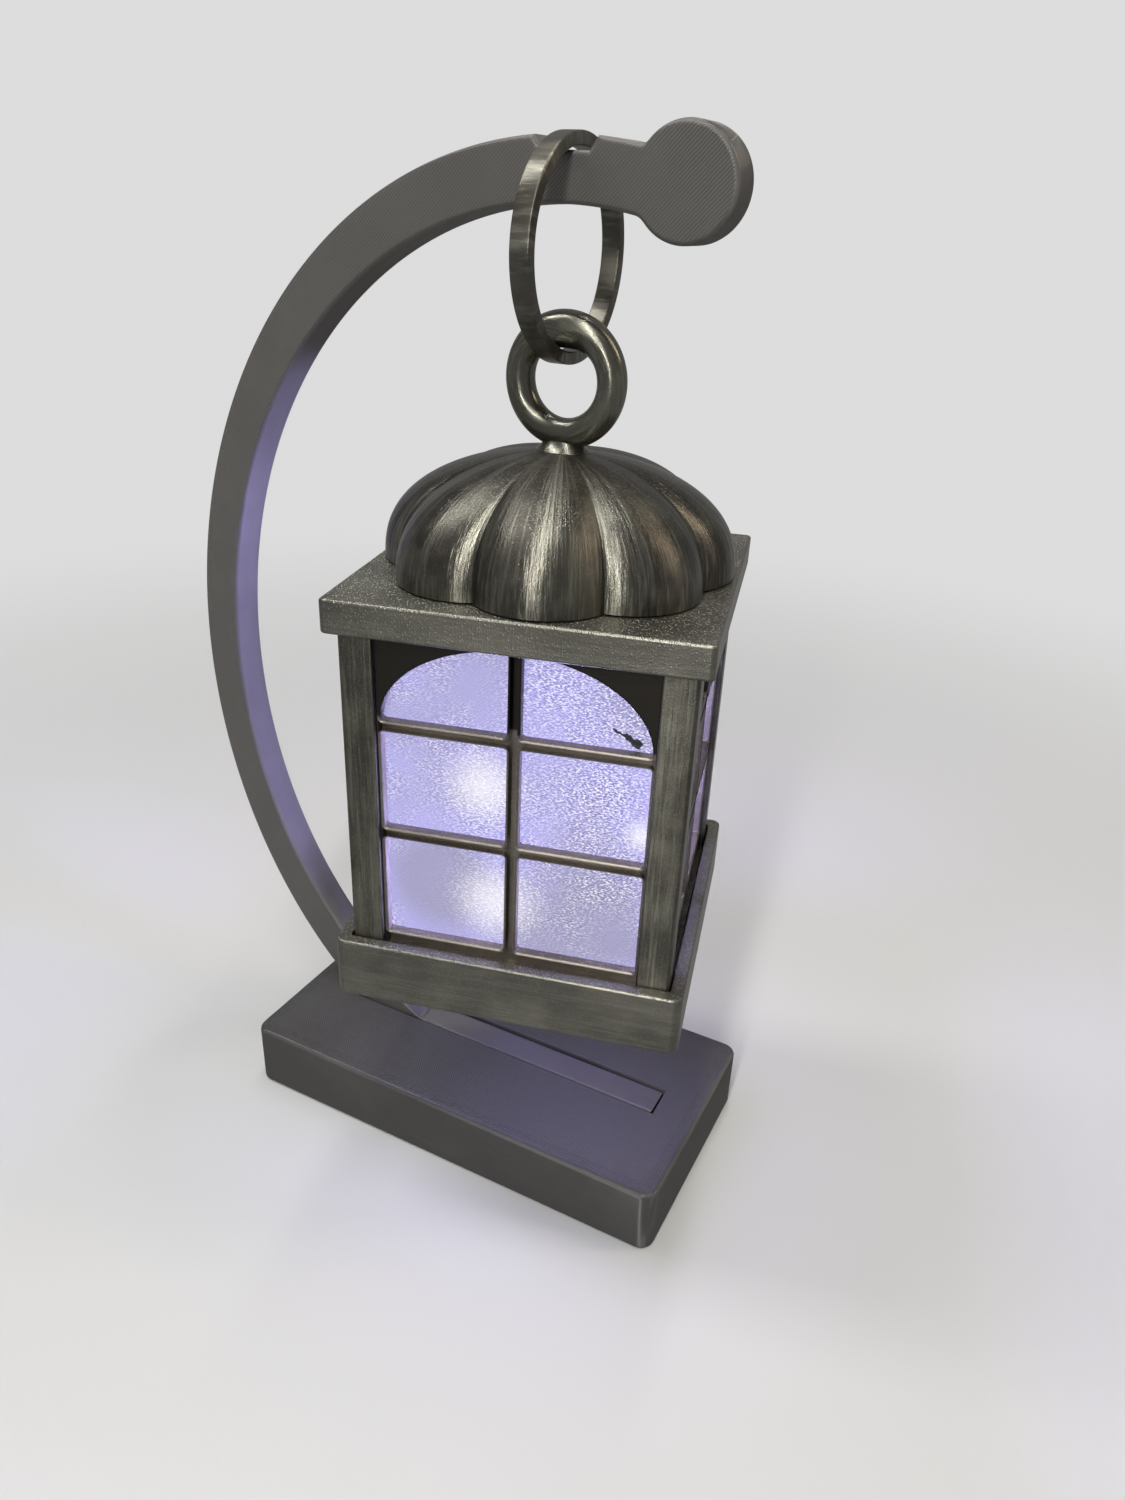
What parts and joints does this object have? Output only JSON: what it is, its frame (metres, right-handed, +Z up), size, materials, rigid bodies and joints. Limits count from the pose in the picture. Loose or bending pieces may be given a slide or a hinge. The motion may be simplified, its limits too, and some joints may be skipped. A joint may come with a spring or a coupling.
{
  "type": "mini hanging lantern with stand",
  "caption": "Square window lantern with a lobed dome and a battery tea light, hanging by two linked rings from a curved arm on a block base.",
  "frame": {"origin": "centre of the stand base's underside", "axes": "+X along the base towards the knob at the arm's end, -Y towards the viewer, +Z up"},
  "size_m": [0.1231, 0.0788, 0.1992],
  "materials": {
    "stand_plastic": "satin printed plastic, dark grey",
    "silk_plastic": "silk printed plastic, gunmetal brown",
    "pane_plastic": "translucent, hammered",
    "white_plastic": "satin moulded plastic",
    "flame_plastic": "translucent",
    "led_plastic": "clear, tinted",
    "board": "solder mask",
    "contact_metal": "plated steel"
  },
  "bodies": {
    "stand": {"stand_base": "stand_plastic", "stand_arm": "stand_plastic"},
    "ring": {"hanging_ring": "silk_plastic"},
    "roof": {"eye_ring": "silk_plastic", "dome_roof": "silk_plastic", "stem_washer": "silk_plastic"},
    "housing": {"lid_plate": "silk_plastic", "body_cage": "silk_plastic", "window_frame_front": "silk_plastic", "window_frame_right": "silk_plastic", "window_frame_rear": "silk_plastic", "window_frame_left": "silk_plastic", "diffuser_pane_front": "pane_plastic", "diffuser_pane_right": "pane_plastic", "diffuser_pane_rear": "pane_plastic", "diffuser_pane_left": "pane_plastic"},
    "tray": {"base_tray": "silk_plastic"},
    "tea_light": {"light_case": "white_plastic", "light_plate": "white_plastic", "flame_cap": "flame_plastic", "led_bulb": "led_plastic", "circuit_board": "board", "battery_cell": "contact_metal", "contact_spring": "contact_metal", "contact_plate": "contact_metal"},
    "door": {"battery_door": "white_plastic"},
    "switch": {"switch_slider": "white_plastic"}
  },
  "joints": [
    {"name": "ring_swing", "type": "hinge", "parent": "stand", "child": "ring", "pos_m": [0.0112, 0, 0.1808], "axis": [1, 0, 0], "range_deg": [-25, 25]},
    {"name": "lantern_swing", "type": "hinge", "parent": "ring", "child": "roof", "pos_m": [0.0112, 0, 0.16138], "axis": [0, 1, 0], "range_deg": [-20, 12]},
    {"name": "body_swivel", "type": "hinge", "parent": "roof", "child": "housing", "pos_m": [0.0112, 0, 0.13], "axis": [0, 0, 1], "continuous": true},
    {"name": "tray_release", "type": "slide", "parent": "housing", "child": "tray", "axis": [0, 0, -1], "range_m": [0, 0.012]},
    {"name": "light_lift", "type": "slide", "parent": "tray", "child": "tea_light", "axis": [0, 0, 1], "range_m": [0, 0.02]},
    {"name": "door_turn", "type": "hinge", "parent": "tea_light", "child": "door", "pos_m": [0.00878, -0.00061, 0.0537], "axis": [0, 0, 1], "range_deg": [0, 45]},
    {"name": "switch_slide", "type": "slide", "parent": "tea_light", "child": "switch", "axis": [-0.2453, 0.9694, 0], "range_m": [0, 0.0024]}
  ]
}
